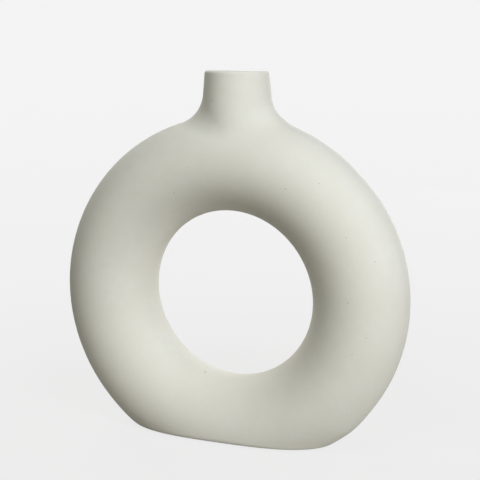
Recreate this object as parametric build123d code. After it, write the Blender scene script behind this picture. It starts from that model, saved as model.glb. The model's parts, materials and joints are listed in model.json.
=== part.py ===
from build123d import *
from math import radians, sqrt, tan
import os

# Driving dimensions, in millimetres; the taper is in degrees.
# Ring: an upright hoop of round tube, cut flat underneath.
ring_spine_radius = 87.2
tube_radius = 30.8
tube_wall = 5.0
base_length = 144.0
base_edge_radius = 5.0
floor_thickness = 6.0
floor_edge_radius = 4.0

# Neck: short and flared, luted onto a flat cut across the ring's crest, a little off centre.
neck_rise = 28.5
neck_offset = 3.4
neck_taper = 4.5
neck_wall = 4.6
neck_blend_radius = 23.0
bore_blend_radius = 16.0
rim_radius = 20.5
lip_radius = 2.0
seat_drop = 8.0

# Glaze: the waterproof coat on the inside, which stops a little below the rim.
glaze_thickness = 0.4
glaze_drop = 3.0

# Felt pads: four discs stuck under the flat of the base.
pad_diameter = 12.0
pad_thickness = 1.5
pad_margin = 2.0

# Shares of the sizes that they follow.
lip_wall_share = 0.45
pad_place_share = 0.62

# How far cutting tools run past what they cut.
overrun = 2.0

# Sizes and heights worked out from the drivers; the vase stands on z = 0.
ring_outer_radius = ring_spine_radius + tube_radius
cavity_tube_radius = tube_radius - tube_wall
bore_radius = rim_radius - neck_wall
lip_rounding = min(lip_radius, lip_wall_share * neck_wall)
pad_radius = pad_diameter / 2

base_z = pad_thickness
floor_z = base_z + floor_thickness
ring_centre_z = base_z + sqrt(ring_outer_radius**2 - (base_length / 2) ** 2)
crest_spine_z = ring_centre_z + ring_spine_radius
crest_z = ring_centre_z + ring_outer_radius
rim_z = crest_z + neck_rise
seat_z = crest_z - seat_drop
glaze_top_z = rim_z - glaze_drop
block_size = 2 * (ring_outer_radius + rim_z)

centre_low = (Align.CENTER, Align.CENTER, Align.MIN)
centre_high = (Align.CENTER, Align.CENTER, Align.MAX)


# Blocks that trim away all above or all below a height.
def block_above(height):
    return Pos(0, 0, height) * Box(block_size, block_size, block_size, align=centre_low)


def block_below(height):
    return Pos(0, 0, height) * Box(block_size, block_size, block_size, align=centre_high)


# An upright hoop of round rod about the ring's centre, its axis along Y.
def hoop(rod_radius):
    return Pos(0, 0, ring_centre_z) * Rot(90, 0, 0) * Torus(ring_spine_radius, rod_radius)


# A plain round post on the neck's axis.
def neck_post(radius, low, high):
    return Pos(neck_offset, 0, low) * Cylinder(radius, high - low, align=centre_low)


# The neck's outside: a cone that widens downwards from the rim into the ring.
def neck_cone():
    height = rim_z - crest_spine_z
    foot_radius = rim_radius + height * tan(radians(neck_taper))
    return Pos(neck_offset, 0, crest_spine_z) * Cone(foot_radius, rim_radius, height, align=centre_low)


# Joins two solids with a rounded blend where they meet.
def blended(first, second, radius):
    joined = first + second
    return fillet(new_edges(first, second, combined=joined), radius)


# Cuts a solid flat at a height and rounds the edge that the cut leaves.
def cut_flat(form, height, edge_radius):
    flat = form - block_below(height)
    return fillet(flat.edges().group_by(Axis.Z)[0], edge_radius)


# The whole outside of the vase, solid: ring, flared neck and flat base.
def outside_form():
    form = blended(hoop(tube_radius), neck_cone(), neck_blend_radius)
    return cut_flat(form, base_z, base_edge_radius)


# The hollow inside, solid, drawn in all round by an inset.
def inside_form(inset):
    tube = hoop(cavity_tube_radius - inset)
    bore = neck_post(bore_radius - inset, crest_spine_z, rim_z + overrun)
    form = blended(tube, bore, bore_blend_radius + inset)
    return cut_flat(form, floor_z + inset, floor_edge_radius - inset)


outside = outside_form()
hollow = inside_form(0)


# The ring's wall, cut flat across its crest for the neck to sit on.
def ring_shell():
    return outside - block_above(seat_z) - hollow


# The neck above its seat: flared outside, bored through, with a rounded lip.
def flared_neck():
    neck = outside - block_below(seat_z) - hollow
    return fillet(neck.edges().group_by(Axis.Z)[-1], lip_rounding)


# The glaze coat that lines the hollow from the floor to just below the rim.
def glaze_lining():
    return hollow - block_above(glaze_top_z) - inside_form(glaze_thickness)


# Half the depth of the flat under the base, at a distance along it from the middle.
def flat_half_depth(along):
    spine_miss = sqrt(along**2 + (ring_centre_z - base_z - base_edge_radius) ** 2) - ring_spine_radius
    return sqrt((tube_radius - base_edge_radius) ** 2 - spine_miss**2)


# Four pads, each as far out along the flat and as near its edge as the margin lets it.
def felt_pads():
    fillet_centre_drop = ring_centre_z - base_z - base_edge_radius
    flat_half_length = sqrt((ring_outer_radius - base_edge_radius) ** 2 - fillet_centre_drop**2)
    along = pad_place_share * flat_half_length
    across = flat_half_depth(along) - pad_radius - pad_margin
    places = [Pos(side * along, face * across, 0) for side in (-1, 1) for face in (-1, 1)]
    return Part() + [place * Cylinder(pad_radius, pad_thickness, align=centre_low) for place in places]


# The shell parts along its mould line, the plane y = 0; the front half faces -Y.
shell = ring_shell()
pieces = {
    "front_shell": split(shell, bisect_by=Plane.XZ, keep=Keep.TOP),
    "back_shell": split(shell, bisect_by=Plane.XZ, keep=Keep.BOTTOM),
    "flared_neck": flared_neck(),
    "glaze_lining": glaze_lining(),
    "felt_pads": felt_pads(),
}

os.makedirs("parts", exist_ok=True)
for name, piece in pieces.items():
    piece.label = name
    export_step(piece, f"parts/{name}.step")
    box = piece.bounding_box()
    print(f"{name}: {piece.volume:.0f} mm3, z {box.min.Z:.2f} to {box.max.Z:.2f}")
print(f"ring centre {ring_centre_z:.3f}, seat {seat_z:.3f}, rim {rim_z:.3f}, bore radius {bore_radius:.2f}")
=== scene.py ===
import json
from math import cos, exp, pi, radians, sin, sqrt, tan
from random import Random

import bmesh
import bpy
import numpy as np
from mathutils import Matrix, Vector, noise
from mathutils.bvhtree import BVHTree
from mathutils.kdtree import KDTree

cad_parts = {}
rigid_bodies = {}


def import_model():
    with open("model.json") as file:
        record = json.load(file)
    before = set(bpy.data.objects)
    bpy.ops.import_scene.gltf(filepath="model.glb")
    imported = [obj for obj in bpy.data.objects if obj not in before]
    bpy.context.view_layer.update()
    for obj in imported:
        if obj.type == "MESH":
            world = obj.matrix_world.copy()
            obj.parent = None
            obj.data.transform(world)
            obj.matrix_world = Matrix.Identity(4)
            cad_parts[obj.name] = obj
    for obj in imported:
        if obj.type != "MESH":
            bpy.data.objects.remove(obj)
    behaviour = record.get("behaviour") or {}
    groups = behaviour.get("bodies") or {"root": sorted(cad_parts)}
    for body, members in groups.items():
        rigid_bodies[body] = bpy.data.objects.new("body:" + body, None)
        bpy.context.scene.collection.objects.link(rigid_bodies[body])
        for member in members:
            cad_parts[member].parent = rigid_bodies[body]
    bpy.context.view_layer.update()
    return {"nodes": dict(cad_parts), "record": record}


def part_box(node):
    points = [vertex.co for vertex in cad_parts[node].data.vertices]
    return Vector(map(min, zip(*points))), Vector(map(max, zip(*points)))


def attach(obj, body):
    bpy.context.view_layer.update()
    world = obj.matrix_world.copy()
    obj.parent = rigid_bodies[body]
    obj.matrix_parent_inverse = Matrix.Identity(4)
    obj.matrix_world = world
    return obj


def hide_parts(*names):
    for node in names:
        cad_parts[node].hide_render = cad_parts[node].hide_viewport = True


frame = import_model()
scene = bpy.context.scene
mm = 0.001
speck = 0.001 * mm  # closer than this counts as the same place
print("frame loaded:", ", ".join(sorted(frame["nodes"])))

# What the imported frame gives
shellLow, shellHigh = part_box("front_shell")
neckLow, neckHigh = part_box("flared_neck")
padLow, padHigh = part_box("felt_pads")
boreMount = next(m for m in frame["record"]["mounts"] if m["name"] == "neck_bore")

# Camera at the photograph's angle
camera = {
    "turn": radians(20.2),  # round the vase from straight in front, to the right
    "distance": 597.35 * mm,
    "height": 242.17 * mm,
    "pan": radians(0.5),
    "pitch": radians(10.49),
    "lens": 69.22,  # in mm, as the sensor is
    "sensor": 36,
    "nearest": 10 * mm,  # what is closer isn't drawn
    "pixels": 480,
}
lookOut = Vector((-sin(camera["turn"]), cos(camera["turn"]), 0))
lookRight = Vector((cos(camera["turn"]), sin(camera["turn"]), 0))
forward = (lookOut * cos(camera["pan"]) + lookRight * sin(camera["pan"])) * cos(camera["pitch"])
forward.z -= sin(camera["pitch"])
cameraData = bpy.data.cameras.new("camera")
cameraData.lens = camera["lens"]
cameraData.sensor_width = camera["sensor"]
cameraData.clip_start = camera["nearest"]
eye = bpy.data.objects.new("camera", cameraData)
eye.location = -lookOut * camera["distance"] + Vector((0, 0, camera["height"]))
eye.rotation_euler = forward.to_track_quat("-Z", "Y").to_euler()
scene.collection.objects.link(eye)
scene.camera = eye


def pixelRay(across, down):  # direction in which the camera sees a pixel of the photograph
    right = forward.cross(Vector((0, 0, 1))).normalized()
    up = right.cross(forward)
    focal = camera["pixels"] * camera["lens"] / camera["sensor"]
    middle = camera["pixels"] / 2
    return (forward + right * (across - middle) / focal + up * (middle - down) / focal).normalized()


ring = {
    "baseLength": 144 * mm,  # flat that the hoop stands on
    "wall": 5 * mm,
    "floor": 6 * mm,
    "baseEdge": 2.9 * mm,  # rounding of the flat's edge, and of the floor's edge inside
    "floorEdge": 4 * mm,
    "sides": 64,  # round the tube
    "steps": 192,  # round the hoop
}
tubeRadius = -shellLow[1]
spineRadius = shellHigh[0] - tubeRadius
baseZ = shellLow[2]
ringZ = baseZ + sqrt(shellHigh[0] ** 2 - (ring["baseLength"] / 2) ** 2)
hub = np.array([0, 0, ringZ])

neck = {
    "wall": 4.6 * mm,
    "glaze": 0.4 * mm,
    "taper": radians(4.5),
    "blend": 23 * mm,  # ball that would fit the flare, outside and in
    "boreBlend": 16 * mm,
    "lip": 2 * mm,
    "lipJoin": 0.01 * mm,  # the two skins are joined where they come this close
    "holeTurn": radians(23),  # half of the opening in the hoop, along it and round its tube
    "holeRoll": radians(62),
    "flareRows": 12,
    "relaxPasses": 16,  # evens out the faces of the flare
    "relaxShare": 0.5,
    "straight": 10 * mm,  # plain stretch below the rim
    "straightRows": 5,
    "lipRows": 7,
}
rimZ = neckHigh[2]
seatZ = neckLow[2]
neckFoot = np.array([boreMount["pos_m"][0], 0, 0])
boreRadius = boreMount["dims"]["r_mm"] * mm + neck["glaze"]
rimRadius = boreRadius + neck["wall"]
crestZ = ringZ + spineRadius

ball = {"stops": 1440, "halvings": 40}  # how finely the track of a rounding ball is found


def length(rows):
    return np.linalg.norm(rows, axis=1)[:, None]


def spinePoints(points):  # nearest points on the centre line of the tube
    out = (points - hub) * [1, 0, 1]
    return hub + out * spineRadius / length(out)


def ballTrack(low, high, place, form, gap, second):
    # Line that the centre of a rounding ball runs on, found by halving, and the two faces it touches
    turn = np.linspace(0, 2 * pi, ball["stops"], endpoint=False)
    low, high = np.full(turn.shape, low), np.full(turn.shape, high)
    for halving in range(ball["halvings"]):
        middle = (low + high) / 2
        centre = place(turn, middle)
        over = length(centre - spinePoints(centre))[:, 0] - form["tube"] > gap
        low, high = np.where(over, low, middle), np.where(over, middle, high)
    first = centre - spinePoints(centre)
    return {"centre": centre, "first": first / length(first), "second": second(turn)}


def neckTrack(form):
    def place(turn, z):
        reach = form["post"] + (rimZ - z) * tan(form["taper"]) + form["blend"] / cos(form["taper"])
        return neckFoot + np.stack([reach * np.cos(turn), reach * np.sin(turn), z], axis=1)

    def postFace(turn):
        lean = np.full(turn.shape, sin(form["taper"]))
        return np.stack([np.cos(turn) * cos(form["taper"]), np.sin(turn) * cos(form["taper"]), lean], axis=1)

    return ballTrack(crestZ, rimZ + form["blend"], place, form, form["blend"], postFace)


def baseTrack(form):
    def place(turn, reach):
        z = np.full(turn.shape, form["floorZ"] + form["edge"])
        return np.stack([reach * np.cos(turn), reach * np.sin(turn), z], axis=1)

    def floorFace(turn):
        return np.stack([turn * 0, turn * 0, turn * 0 - 1], axis=1)

    return ballTrack(0, shellHigh[0], place, form, -form["edge"], floorFace)


def rollBall(points, plain, track, radius, side):
    # Points between the two touched faces go onto the ball, and the rest go to their plain place
    apart = (points**2).sum(1)[:, None] + (track["centre"] ** 2).sum(1) - 2 * points @ track["centre"].T
    nearest = apart.argmin(1)
    centre, first, second = (track[name][nearest] for name in ("centre", "first", "second"))
    away = points - centre
    alongFirst, alongSecond = side * (away * first).sum(1), side * (away * second).sum(1)
    lean = (first * second).sum(1)
    held = (alongFirst > lean * alongSecond) & (alongSecond > lean * alongFirst)
    return np.where(held[:, None], centre + away * radius / length(away), plain)


def snap(points, form):  # puts points onto the tube, the post of the neck, the flat or the roundings between
    core = spinePoints(points)
    out = points - core
    tubeGap = length(out)[:, 0] - form["tube"]
    aside = (points - neckFoot) * [1, 1, 0]
    reach = np.maximum(length(aside), speck)
    post = (form["post"] + (rimZ - points[:, 2]) * tan(form["taper"]))[:, None]
    postGap = (reach - post)[:, 0] * cos(form["taper"])
    high = points[:, 2] > crestZ
    onPost = neckFoot + aside * post / reach + points * [0, 0, 1]
    plain = np.where((high & (postGap < tubeGap))[:, None], onPost, core + out * form["tube"] / length(out))
    plain[high] = rollBall(points[high], plain[high], form["neckTrack"], form["blend"], -1)
    low = plain[:, 2] < form["floorZ"] + form["edge"]
    flat = np.maximum(plain[low], [-np.inf, -np.inf, form["floorZ"]])
    plain[low] = rollBall(plain[low], flat, form["baseTrack"], form["edge"], 1)
    return plain


def places(verts):
    return np.array([v.co for v in verts], dtype=float)


def move(verts, points):
    for v, co in zip(verts, points):
        v.co = co


def pullUp(bm, loop, row):  # a new row of faces on an open loop; row gives the new places from the old
    new = bmesh.ops.extrude_edge_only(bm, edges=loop)["geom"]
    verts = [g for g in new if isinstance(g, bmesh.types.BMVert)]
    move(verts, row(places(verts)))
    return [g for g in new if isinstance(g, bmesh.types.BMEdge) and g.is_boundary]


def onPostAt(points, reach, z):  # the same bearings round the neck's axis, at a reach and height
    aside = (points - neckFoot) * [1, 1, 0]
    return neckFoot + aside * reach / length(aside) + [0, 0, z]


def neckBearing(v):
    return np.arctan2(v.co.y, v.co.x - neckFoot[0])


def openLoop(bm):
    return [e for e in bm.edges if e.is_boundary]


def lipProfile(form, centreReach, startTurn):  # reach and height of each row, from the straight over the lip
    start = rimZ - neck["straight"]
    end = rimZ - neck["lip"] + neck["lip"] * sin(startTurn)
    rows = []
    for row in range(1, neck["straightRows"]):
        z = start + (end - start) * row / neck["straightRows"]
        rows.append((form["post"] + (rimZ - z) * tan(form["taper"]), z))
    for row in range(neck["lipRows"]):
        turn = startTurn + (pi / 2 - startTurn) * row / neck["lipRows"]
        rows.append((centreReach + neck["lip"] * cos(turn), rimZ - neck["lip"] + neck["lip"] * sin(turn)))
    rows.append((boreRadius + neck["lip"], rimZ))
    return rows


def ringSkin(form, profile):
    bm = bmesh.new()
    section = Matrix.Translation((spineRadius, 0, ringZ))
    circle = bmesh.ops.create_circle(bm, segments=ring["sides"], radius=form["tube"], matrix=section)
    bmesh.ops.spin(bm, geom=circle["verts"] + bm.edges[:], cent=hub, axis=(0, 1, 0), angle=2 * pi,
                   steps=ring["steps"], use_merge=True)
    bmesh.ops.remove_doubles(bm, verts=bm.verts, dist=speck)

    # open the crest where the neck stands
    bearing = neckFoot[0] / (spineRadius + tubeRadius)
    inHole = []
    for face in bm.faces:
        centre = face.calc_center_median() - Vector(hub)
        turn = np.arctan2(centre.x, centre.z) - bearing
        roll = np.arctan2(centre.y, Vector((centre.x, centre.z)).length - spineRadius)
        if abs(turn) < neck["holeTurn"] and abs(roll) < neck["holeRoll"]:
            inHole.append(face)
    bmesh.ops.delete(bm, geom=inHole, context="FACES")

    # rows of faces that climb from the opening to the straight of the neck
    topZ = rimZ - neck["straight"]
    topReach = form["post"] + neck["straight"] * tan(form["taper"])
    loop = openLoop(bm)
    for row in range(neck["flareRows"]):
        step = 1 / (neck["flareRows"] - row)
        loop = pullUp(bm, loop, lambda p: p + (onPostAt(p, topReach, topZ) - p) * step)
    bmesh.ops.subdivide_edges(bm, edges=bm.edges[:], cuts=1, use_grid_fill=True)
    seam = [v for v in bm.verts if abs(v.co.y) < speck]
    move(bm.verts, snap(places(bm.verts), form))

    # the top row is spaced evenly, and the flare below it evens out
    topVerts = sorted({v for e in openLoop(bm) for v in e.verts}, key=neckBearing)
    even = np.linspace(-pi, pi, len(topVerts) + 1)[1:]
    topRow = np.stack([topReach * np.cos(even), topReach * np.sin(even), even * 0 + topZ], axis=1)
    move(topVerts, neckFoot + topRow)
    near = [v for v in bm.verts if v.co.z > crestZ and v not in topVerts]
    for relaxing in range(neck["relaxPasses"]):
        bmesh.ops.smooth_vert(bm, verts=near, factor=neck["relaxShare"], use_axis_x=True, use_axis_y=True,
                              use_axis_z=True)
        move(near, snap(places(near), form))
    for v in seam:
        v.co.y = 0
    loop = openLoop(bm)
    for reach, z in profile:
        loop = pullUp(bm, loop, lambda p: onPostAt(p, reach, z))
    return bm


outerForm = {"tube": tubeRadius, "post": rimRadius, "taper": neck["taper"], "blend": neck["blend"],
             "floorZ": baseZ, "edge": ring["baseEdge"]}
innerForm = {"tube": tubeRadius - ring["wall"], "post": boreRadius, "taper": 0, "blend": neck["boreBlend"],
             "floorZ": baseZ + ring["floor"], "edge": ring["floorEdge"]}
for form in (outerForm, innerForm):
    form["neckTrack"] = neckTrack(form)
    form["baseTrack"] = baseTrack(form)

outerLip = rimRadius + neck["lip"] * (tan(neck["taper"]) - 1 / cos(neck["taper"]))
body = ringSkin(outerForm, lipProfile(outerForm, outerLip, neck["taper"]))

handwork = {
    "wave": 45 * mm,  # long soft waves and short ones that a hand leaves in the clay
    "waveDepth": 0.16 * mm,
    "ripple": 13 * mm,
    "rippleDepth": 0.03 * mm,
    "strokes": [  # middle across and up, reach and push, all in mm; the flare runs out further on the right
        (24, 226, 9, 0.5),
        (33, 209, 11, 1.3),
        (52, 201, 10, 0.4),
        (85, 177, 14, -0.5),
        (84, 13, 12, 0.8),
        (45, 3, 18, -0.3),
        (-62, 10, 12, 0.4),
    ],
    "rimSag": 0.6 * mm,  # the rim is a little lower on the right
    "sagHeight": 6 * mm,
}


def clamped(value):  # held between 0 and 1
    return min(max(value, 0), 1)


def handworkPush(co):
    wave = handwork["waveDepth"] * (noise.noise(co / handwork["wave"]) - 1)
    ripple = handwork["rippleDepth"] * (noise.noise(co / handwork["ripple"]) - 1)
    push = (wave + ripple) / 2  # the waves never go outwards, so that the vase stays in its CAD box
    for across, up, reach, depth in handwork["strokes"]:
        away = Vector((co.x / mm - across, co.z / mm - up)).length / reach
        push += depth * mm * exp(-away**2)
    return push


body.normal_update()
for v in body.verts:
    onSeam = abs(v.co.y) < speck
    clear = clamped((v.co.z - baseZ) / ring["baseEdge"]) * clamped((rimZ - v.co.z) / neck["lip"])
    v.co += v.normal * handworkPush(v.co) * clear
    if onSeam:
        v.co.y = 0

inside = ringSkin(innerForm, lipProfile(innerForm, boreRadius + neck["lip"], pi))
insideMesh = bpy.data.meshes.new("inside")
inside.to_mesh(insideMesh)
inside.free()
body.from_mesh(insideMesh)
bpy.data.meshes.remove(insideMesh)
bmesh.ops.remove_doubles(body, verts=body.verts, dist=neck["lipJoin"])
bmesh.ops.recalc_face_normals(body, faces=body.faces)
for v in body.verts:
    upper = max((v.co.z - rimZ) / handwork["sagHeight"] + 1, 0)
    right = clamped((v.co.x - neckFoot[0]) / rimRadius + 1)
    v.co.z -= handwork["rimSag"] * upper * right
print("vase body:", len(body.faces), "faces,", len(openLoop(body)), "open edges")

pinholes = {
    "seen": [  # pixel of the photograph across and down, radius in mm
        (205, 372, 0.65), (212, 100, 0.5), (175, 194, 0.5), (285, 188, 0.45),
        (347, 303, 0.5), (375, 263, 0.4), (351, 355, 0.4), (367, 338, 0.4),
        (346, 415, 0.4), (346, 239, 0.4), (115, 371, 0.35), (208, 183, 0.35),
        (319, 184, 0.35), (320, 151, 0.35), (188, 168, 0.35), (167, 424, 0.35),
    ],
    "unseen": 16,  # throws over the back, of which some miss or land too close
    "unseenRadius": (0.3, 0.55),  # least and most, in mm
    "seed": 7,
    "throwFrom": 1,  # metres behind the vase
    "spread": 0.7,  # in tube radii, from the middle of the tube
    "aboveBase": 0.25,  # in tube radii
    "apart": 8 * mm,
    "lobes": 3,  # of the ragged edge
    "raggedness": 0.12,
    "rows": [  # reach and depth in radii, and painted shade
        (2, 0, 0),
        (1.3, 0, 0),
        (1.05, 0.02, 0.3),
        (0.85, 0.25, 1),
        (0.6, 0.5, 1),
        (0.3, 0.6, 1),
    ],
}
dice = Random(pinholes["seed"])
skin = BVHTree.FromBMesh(body)
# painted shade: how much each corner inside a pinhole is darkened in colour
paintedPitShade = body.verts.layers.float.new("pinhole")
corners = body.verts[:]
tree = KDTree(len(corners))
for index, v in enumerate(corners):
    tree.insert(v.co, index)
tree.balance()


def cornerOn(start, ray):  # corner of the mesh nearest to where a ray meets the vase
    hit = skin.ray_cast(start, ray)[0]
    return corners[tree.find(hit)[1]] if hit else None


def pinhole(corner, radius):
    centre, out = np.array(corner.co), np.array(corner.normal)
    side = np.array(corner.normal.orthogonal().normalized())
    other = np.cross(out, side)
    start = dice.uniform(0, 2 * pi)
    around = {f for first in corner.link_faces for v in first.verts for f in v.link_faces}
    loop = [e for f in around for e in f.edges if len(around.intersection(e.link_faces)) == 1]
    bmesh.ops.delete(body, geom=list(around), context="FACES")
    for reach, depth, share in pinholes["rows"]:
        def row(points):
            turn = np.arctan2((points - centre) @ other, (points - centre) @ side)
            ragged = 1 + pinholes["raggedness"] * np.sin(pinholes["lobes"] * turn + start)
            spread = (radius * reach * ragged)[:, None]
            flat = centre + spread * (np.cos(turn)[:, None] * side + np.sin(turn)[:, None] * other)
            return np.array([skin.find_nearest(p)[0] for p in flat]) - out * depth * radius

        loop = pullUp(body, loop, row)
        for v in {v for e in loop for v in e.verts}:
            # painted shade: the deeper rows of the pinhole are darkened in colour
            v[paintedPitShade] = share
    bmesh.ops.edgeloop_fill(body, edges=loop)


chosen = [(cornerOn(eye.location, pixelRay(x, y)), radius) for x, y, radius in pinholes["seen"]]
for throw in range(pinholes["unseen"]):
    turn = dice.uniform(0, 2 * pi)
    reach = spineRadius + dice.uniform(-pinholes["spread"], pinholes["spread"]) * tubeRadius
    behind = Vector((reach * cos(turn), pinholes["throwFrom"], ringZ + reach * sin(turn)))
    corner = cornerOn(behind, Vector((0, -1, 0)))
    crowded = corner and any((corner.co - taken.co).length < pinholes["apart"] for taken, radius in chosen)
    lowest = baseZ + pinholes["aboveBase"] * tubeRadius
    if corner and not crowded and corner.co.y > 0 and corner.co.z > lowest:
        chosen.append((corner, dice.uniform(*pinholes["unseenRadius"])))
body.normal_update()
for corner, radius in chosen:
    pinhole(corner, radius * mm)
print("pinholes:", len(chosen))

# Each piece is cut from the one body, and keeps the body's normals so that no seam shows in the light
body.normal_update()
skinNormal = body.verts.layers.float_vector.new("skinNormal")
for v in body.verts:
    v[skinNormal] = v.normal


def newPiece(name, bm, material, node):
    mesh = bpy.data.meshes.new(name)
    bm.to_mesh(mesh)
    bm.free()
    piece = bpy.data.objects.new(name, mesh)
    scene.collection.objects.link(piece)
    mesh.materials.append(material)
    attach(piece, "root")
    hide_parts(node)
    print(name, len(mesh.polygons), "faces")
    return piece


def cutAway(bm, point, normal):  # drops what lies beyond the plane and closes the cut
    geom = bm.verts[:] + bm.edges[:] + bm.faces[:]
    cut = bmesh.ops.bisect_plane(bm, geom=geom, dist=speck, plane_co=point, plane_no=normal,
                                 clear_outer=True)
    rim = [g for g in cut["geom_cut"] if isinstance(g, bmesh.types.BMEdge)]
    filled = bmesh.ops.triangle_fill(bm, edges=rim, use_beauty=True, use_dissolve=False, normal=normal)
    for face in filled["geom"]:
        if isinstance(face, bmesh.types.BMFace):
            face.smooth = False
            face.normal_update()
            if face.normal.dot(Vector(normal)) < 0:
                face.normal_flip()


def bodyPiece(name, node, material, cuts):
    bm = body.copy()
    for face in bm.faces:
        face.smooth = True
    for point, normal in cuts:
        cutAway(bm, point, normal)
    bm.normal_update()
    layer = bm.verts.layers.float_vector["skinNormal"]
    kept = [c.vert[layer].normalized() if f.smooth else f.normal.copy() for f in bm.faces for c in f.loops]
    piece = newPiece(name, bm, material, node)
    piece.data.normals_split_custom_set(kept)


class Wire:  # output of a node, with the sums that a shader needs
    def __init__(self, shader, socket):
        self.shader = shader
        self.socket = socket

    def sum(self, operation, other, turned=False):
        first, second = (other, self) if turned else (self, other)
        return self.shader.node("ShaderNodeMath", {"operation": operation}, {0: first, 1: second})

    def __add__(self, other):
        return self.sum("ADD", other)

    def __radd__(self, other):
        return self.sum("ADD", other, True)

    def __sub__(self, other):
        return self.sum("SUBTRACT", other)

    def __rsub__(self, other):
        return self.sum("SUBTRACT", other, True)

    def __mul__(self, other):
        return self.sum("MULTIPLY", other)

    def __rmul__(self, other):
        return self.sum("MULTIPLY", other, True)

    def __rtruediv__(self, other):
        return self.sum("DIVIDE", other, True)


class Shader:  # node tree of a material or of the world
    def __init__(self, owner):
        owner.use_nodes = True
        self.owner = owner
        self.tree = owner.node_tree

    def feed(self, socket, value):
        if isinstance(value, Wire):
            self.tree.links.new(value.socket, socket)
        else:
            socket.default_value = value

    def node(self, kind, settings, sockets, output=0):
        node = self.tree.nodes.new(kind)
        for name, value in settings.items():
            setattr(node, name, value)
        for name, value in sockets.items():
            self.feed(node.inputs[name], value)
        return Wire(self, node.outputs[output])

    def surface(self, sockets):  # what feeds the shader that the owner starts with
        for name, value in sockets.items():
            self.feed(self.tree.nodes["Principled BSDF"].inputs[name], value)

    def speckle(self, place, scale, detail, roughness):
        sockets = {"Vector": place, "Scale": scale, "Detail": detail, "Roughness": roughness}
        return self.node("ShaderNodeTexNoise", {}, sockets, "Fac")

    def step(self, value, low, high):  # 0 below low, 1 above high, smooth between
        return self.node("ShaderNodeMapRange", {"interpolation_type": "SMOOTHSTEP"},
                         {"Value": value, "From Min": low, "From Max": high})

    def blend(self, share, first, second):
        return self.node("ShaderNodeMix", {"data_type": "RGBA"}, {0: share, 6: first, 7: second}, 2)

    def bump(self, height, strength, distance, under=None):
        sockets = {"Height": height, "Strength": strength, "Distance": distance}
        if under:
            sockets["Normal"] = under
        return self.node("ShaderNodeBump", {}, sockets)


noiseMiddle = 0.5  # what a noise averages

bisqueLook = {
    "pale": (0.597, 0.58, 0.523, 1),
    "warm": (0.572, 0.55, 0.485, 1),
    "dust": (0.627, 0.61, 0.556, 1),  # chalky bloom that the fired clay keeps
    # dark of the iron grains, also painted into the pinholes as shade
    "spot": (0.3, 0.275, 0.225, 1),
    "cloud": (22, 4, 0.55),  # scale per metre, detail and roughness of each noise
    "mottle": (170, 3, 0.5),
    "grain": (900, 5, 0.6),
    "grit": (2600, 2, 0.5),
    "cloudStep": (0.3, 0.7),  # where a noise starts and ends to change the colour, and by what share
    "mottleStep": (0.4, 0.65),
    "mottleShare": 0.4,
    "dustStep": (0.45, 0.75),
    "dustShare": 0.35,
    "spotScale": 420,
    "spotEdge": (0.04, 0.1),
    "spotLot": (0.955, 0.96),  # about one cell in 24 holds a spot
    "spotShare": 0.45,
    # how far painted shade darkens the pinholes
    "pitShare": 0.5,
    "grainBump": (0.25, 0.12 * mm),  # strength and depth
    "gritBump": (0.3, 0.04 * mm),
    "roughness": 0.88,
    "roughnessSwing": 0.16,
    "gloss": 0.25,
}


def bisqueClay():
    clay = Shader(bpy.data.materials.new("bisque"))
    place = clay.node("ShaderNodeTexCoord", {}, {}, "Object")
    cloud = clay.speckle(place, *bisqueLook["cloud"])
    mottle = clay.speckle(place, *bisqueLook["mottle"])
    grain = clay.speckle(place, *bisqueLook["grain"])
    grit = clay.speckle(place, *bisqueLook["grit"])
    mottled = clay.step(mottle, *bisqueLook["mottleStep"]) * bisqueLook["mottleShare"]
    dusted = clay.step(grain, *bisqueLook["dustStep"]) * bisqueLook["dustShare"]
    colour = clay.blend(clay.step(cloud, *bisqueLook["cloudStep"]), bisqueLook["warm"], bisqueLook["pale"])
    colour = clay.blend(mottled, colour, bisqueLook["warm"])
    colour = clay.blend(dusted, colour, bisqueLook["dust"])
    # a few dark grains of iron in the clay, and painted shade inside the pinholes
    cells = {"Vector": place, "Scale": bisqueLook["spotScale"]}
    apart = clay.node("ShaderNodeTexVoronoi", {}, cells, "Distance")
    cellColour = clay.node("ShaderNodeTexVoronoi", {}, cells, "Color")
    lot = clay.node("ShaderNodeSeparateColor", {}, {0: cellColour})
    spots = (1 - clay.step(apart, *bisqueLook["spotEdge"])) * clay.step(lot, *bisqueLook["spotLot"])
    # painted shade inside the pinholes, read from the corners' pinhole layer
    pitShadeMask = clay.node("ShaderNodeAttribute", {"attribute_name": "pinhole"}, {}, "Fac")
    dark = spots * bisqueLook["spotShare"] + pitShadeMask * bisqueLook["pitShare"]
    colour = clay.blend(dark, colour, bisqueLook["spot"])
    normal = clay.bump(grain, *bisqueLook["grainBump"])
    normal = clay.bump(grit, *bisqueLook["gritBump"], normal)
    clay.surface({
        "Base Color": colour,
        "Roughness": bisqueLook["roughness"] + (grain - noiseMiddle) * bisqueLook["roughnessSwing"],
        "Specular IOR Level": bisqueLook["gloss"],
        "Normal": normal,
    })
    return clay.owner


bisque = bisqueClay()
seat = (0, 0, seatZ)
mould = (0, 0, 0)
bodyPiece("bisqueFront", "front_shell", bisque, [(seat, (0, 0, 1)), (mould, (0, 1, 0))])
bodyPiece("bisqueBack", "back_shell", bisque, [(seat, (0, 0, 1)), (mould, (0, -1, 0))])
bodyPiece("bisqueNeck", "flared_neck", bisque, [(seat, (0, 0, -1))])
body.free()

glazeLook = {
    "thin": (0.74, 0.73, 0.67, 1),
    "pooled": (0.68, 0.68, 0.6, 1),
    "cloud": (60, 3, 0.5),  # scale per metre, detail and roughness of each noise
    "dimple": (500, 1, 0.5),
    "dimpleBump": (0.15, 0.1 * mm),  # strength and depth
    "roughness": 0.1,
    "roughnessSwing": 0.08,
    "coat": 0.4,
    "coatRoughness": 0.05,
}


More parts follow.
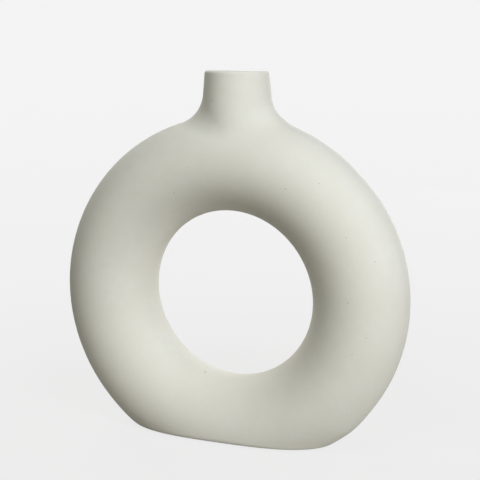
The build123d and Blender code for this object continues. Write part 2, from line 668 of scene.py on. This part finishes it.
def clearGlaze():
    glaze = Shader(bpy.data.materials.new("glaze"))
    place = glaze.node("ShaderNodeTexCoord", {}, {}, "Object")
    cloud = glaze.speckle(place, *glazeLook["cloud"])
    dimple = glaze.speckle(place, *glazeLook["dimple"])
    glaze.surface({
        "Base Color": glaze.blend(cloud, glazeLook["pooled"], glazeLook["thin"]),
        "Roughness": glazeLook["roughness"] + cloud * glazeLook["roughnessSwing"],
        "Coat Weight": glazeLook["coat"],
        "Coat Roughness": glazeLook["coatRoughness"],
        "Normal": glaze.bump(dimple, *glazeLook["dimpleBump"]),
    })
    return glaze.owner


glaze = clearGlaze()
for slot in frame["nodes"]["glaze_lining"].material_slots:
    slot.material = glaze
print("glaze lining dressed")

felt = {
    "radius": 6 * mm,
    "sides": 64,
    "edge": 0.3 * mm,
    "edgeRows": 3,
    "rings": 6,  # rings of faces that the fuzz can move
    "ringWidth": 0.8 * mm,
    "fuzz": 0.1 * mm,
    "fuzzSize": 0.7 * mm,
    "pale": (0.52, 0.49, 0.43, 1),
    "dark": (0.36, 0.33, 0.28, 1),
    "fibre": (1800, 4, 0.6),  # scale per metre, detail and roughness of each noise
    "fibreTurn": (0, 0, 0.6),
    "fibreStretch": (1, 0.2, 1),
    "fibreShare": 0.7,
    "tuft": (450, 3, 0.5),
    "tuftShare": 0.3,
    "paleStep": (0.35, 0.65),
    "fibreBump": (0.8, 0.2 * mm),  # strength and depth
    "roughness": 0.95,
    "sheen": 0.4,
    "sheenRoughness": 0.5,
    "gloss": 0.1,
}


def feltCloth():
    cloth = Shader(bpy.data.materials.new("felt"))
    place = cloth.node("ShaderNodeTexCoord", {}, {}, "Object")
    combed = cloth.node("ShaderNodeMapping", {}, {"Vector": place, "Rotation": felt["fibreTurn"],
                                                  "Scale": felt["fibreStretch"]})
    fibre = cloth.speckle(combed, *felt["fibre"])
    tuft = cloth.speckle(place, *felt["tuft"])
    matted = fibre * felt["fibreShare"] + tuft * felt["tuftShare"]
    cloth.surface({
        "Base Color": cloth.blend(cloth.step(matted, *felt["paleStep"]), felt["dark"], felt["pale"]),
        "Roughness": felt["roughness"],
        "Sheen Weight": felt["sheen"],
        "Sheen Roughness": felt["sheenRoughness"],
        "Specular IOR Level": felt["gloss"],
        "Normal": cloth.bump(fibre + tuft, *felt["fibreBump"]),
    })
    return cloth.owner


def padCaps(bm):  # the flat faces, above and below
    return [f for f in bm.faces if len(f.verts) == felt["sides"]]


def feltPads():
    bm = bmesh.new()
    reach = Vector((padHigh[0] - felt["radius"], padHigh[1] - felt["radius"], 0))
    for side, face in ((-1, -1), (-1, 1), (1, -1), (1, 1)):
        place = Matrix.Translation((side * reach.x, face * reach.y, padLow[2]))
        disc = bmesh.ops.create_circle(bm, cap_ends=True, segments=felt["sides"], radius=felt["radius"],
                                       matrix=place)
        lower = disc["verts"][0].link_faces[0]
        raised = bmesh.ops.extrude_face_region(bm, geom=[lower], use_keep_orig=True)["geom"]
        upper = [g for g in raised if isinstance(g, bmesh.types.BMVert)]
        bmesh.ops.translate(bm, verts=upper, vec=(0, 0, padHigh[2] - padLow[2]))
    bmesh.ops.recalc_face_normals(bm, faces=bm.faces)
    edges = {e for f in padCaps(bm) for e in f.edges}
    bmesh.ops.bevel(bm, geom=list(edges), offset=felt["edge"], offset_type="OFFSET",
                    segments=felt["edgeRows"], profile=0.5, affect="EDGES", material=-1)
    for inset in range(felt["rings"]):
        bmesh.ops.inset_individual(bm, faces=padCaps(bm), thickness=felt["ringWidth"])
    bmesh.ops.poke(bm, faces=padCaps(bm))
    bm.normal_update()
    for v in bm.verts:
        lift = noise.noise(v.co / felt["fuzzSize"]) - 1
        v.co += v.normal * felt["fuzz"] * lift / 2
    for f in bm.faces:
        f.smooth = True
    pads = newPiece("feltPads", bm, feltCloth(), "felt_pads")


feltPads()

stage = {
    "size": 6,  # metres from the middle of the floor to its edge
    "tone": 0.9,  # grey that the camera sees
    "reach": 0.16,  # metres from the middle of the vase, beyond which the floor throws back less
    "nearBounce": (0.42, 0.405, 0.385, 1),  # what the floor throws back onto the vase, a little warm
    "farBounce": (0.05, 0.05, 0.05, 1),
    "shadowShare": 0.12,  # how much of the lit floor, with its shadow, shows by the vase
    "dusk": 0.005,  # grey of the room that lights the vase from all round
}


def grey(value):
    return (value, value, value, 1)


def seenDirectly(shader):
    path = [shader.node("ShaderNodeLightPath", {}, {}, name)
            for name in ("Is Camera Ray", "Is Glossy Ray", "Is Transmission Ray")]
    return (path[0] + path[1] + path[2]).sum("MINIMUM", 1)


def paleFloor():
    bm = bmesh.new()
    bmesh.ops.create_grid(bm, x_segments=1, y_segments=1, size=stage["size"])
    mesh = bpy.data.meshes.new("floor")
    bm.to_mesh(mesh)
    bm.free()
    floor = bpy.data.objects.new("floor", mesh)
    scene.collection.objects.link(floor)
    paint = Shader(bpy.data.materials.new("paleFloor"))
    place = paint.node("ShaderNodeTexCoord", {}, {}, "Object")
    away = paint.node("ShaderNodeVectorMath", {"operation": "LENGTH"}, {0: place}, "Value")
    close = stage["reach"] / away.sum("MAXIMUM", stage["reach"])  # 1 by the vase, less and less further out
    thrownBack = paint.blend(close, stage["farBounce"], stage["nearBounce"])
    glow = paint.node("ShaderNodeEmission", {}, {"Color": grey(stage["tone"])})
    matt = paint.node("ShaderNodeBsdfDiffuse", {}, {"Color": thrownBack})
    seen = seenDirectly(paint) * (1 - close * stage["shadowShare"])
    mixed = paint.node("ShaderNodeMixShader", {}, {0: seen, 1: matt, 2: glow})
    paint.feed(paint.tree.nodes["Material Output"].inputs["Surface"], mixed)
    mesh.materials.append(paint.owner)


def studioWorld():
    world = bpy.data.worlds.new("studio")
    scene.world = world
    air = Shader(world)
    tone = air.blend(seenDirectly(air), grey(stage["dusk"]), grey(stage["tone"]))
    air.feed(air.tree.nodes["Background"].inputs["Color"], tone)


lampRig = {"size": 0.7, "reach": 1.3, "aim": Vector((0, 0, 0.12))}  # alike for all, in metres
lamps = {  # degrees round from the camera and above the table, power in watts, colour
    "key": {"turn": 30, "lift": 30, "power": 13.2, "colour": (0.89, 0.93, 0.99)},
    "keyLow": {"turn": 30, "lift": 3, "power": 3.3, "colour": (1, 0.93, 0.45)},
    "side": {"turn": 45, "lift": 12, "power": 4.7, "colour": (0.74, 0.81, 1)},
    "crown": {"turn": -30, "lift": 55, "power": 5.2, "colour": (0.82, 0.885, 1)},
    "left": {"turn": -60, "lift": 42, "power": 2.2, "colour": (1, 0.97, 0.58)},
    "backLow": {"turn": 150, "lift": 3, "power": 14, "colour": (0.95, 0.98, 0.99)},
    "backMid": {"turn": -165, "lift": 20, "power": 4, "colour": (1, 0.9, 0.9)},
    "backTop": {"turn": -150, "lift": 42, "power": 5.2, "colour": (0.96, 0.99, 0.96)},
}


def studioLamps():
    for name, lamp in lamps.items():
        around, lift = camera["turn"] + radians(lamp["turn"]), radians(lamp["lift"])
        out = Vector((sin(around) * cos(lift), -cos(around) * cos(lift), sin(lift)))
        light = bpy.data.lights.new(name, "AREA")
        light.shape = "DISK"
        light.size = lampRig["size"]
        light.energy = lamp["power"]
        light.color = lamp["colour"]
        holder = bpy.data.objects.new(name, light)
        holder.location = lampRig["aim"] + out * lampRig["reach"]
        holder.rotation_euler = (-out).to_track_quat("-Z", "Y").to_euler()
        holder.visible_camera = False
        scene.collection.objects.link(holder)


paleFloor()
studioWorld()
studioLamps()
print("stage and lamps set")

scene.view_settings.view_transform = "Standard"
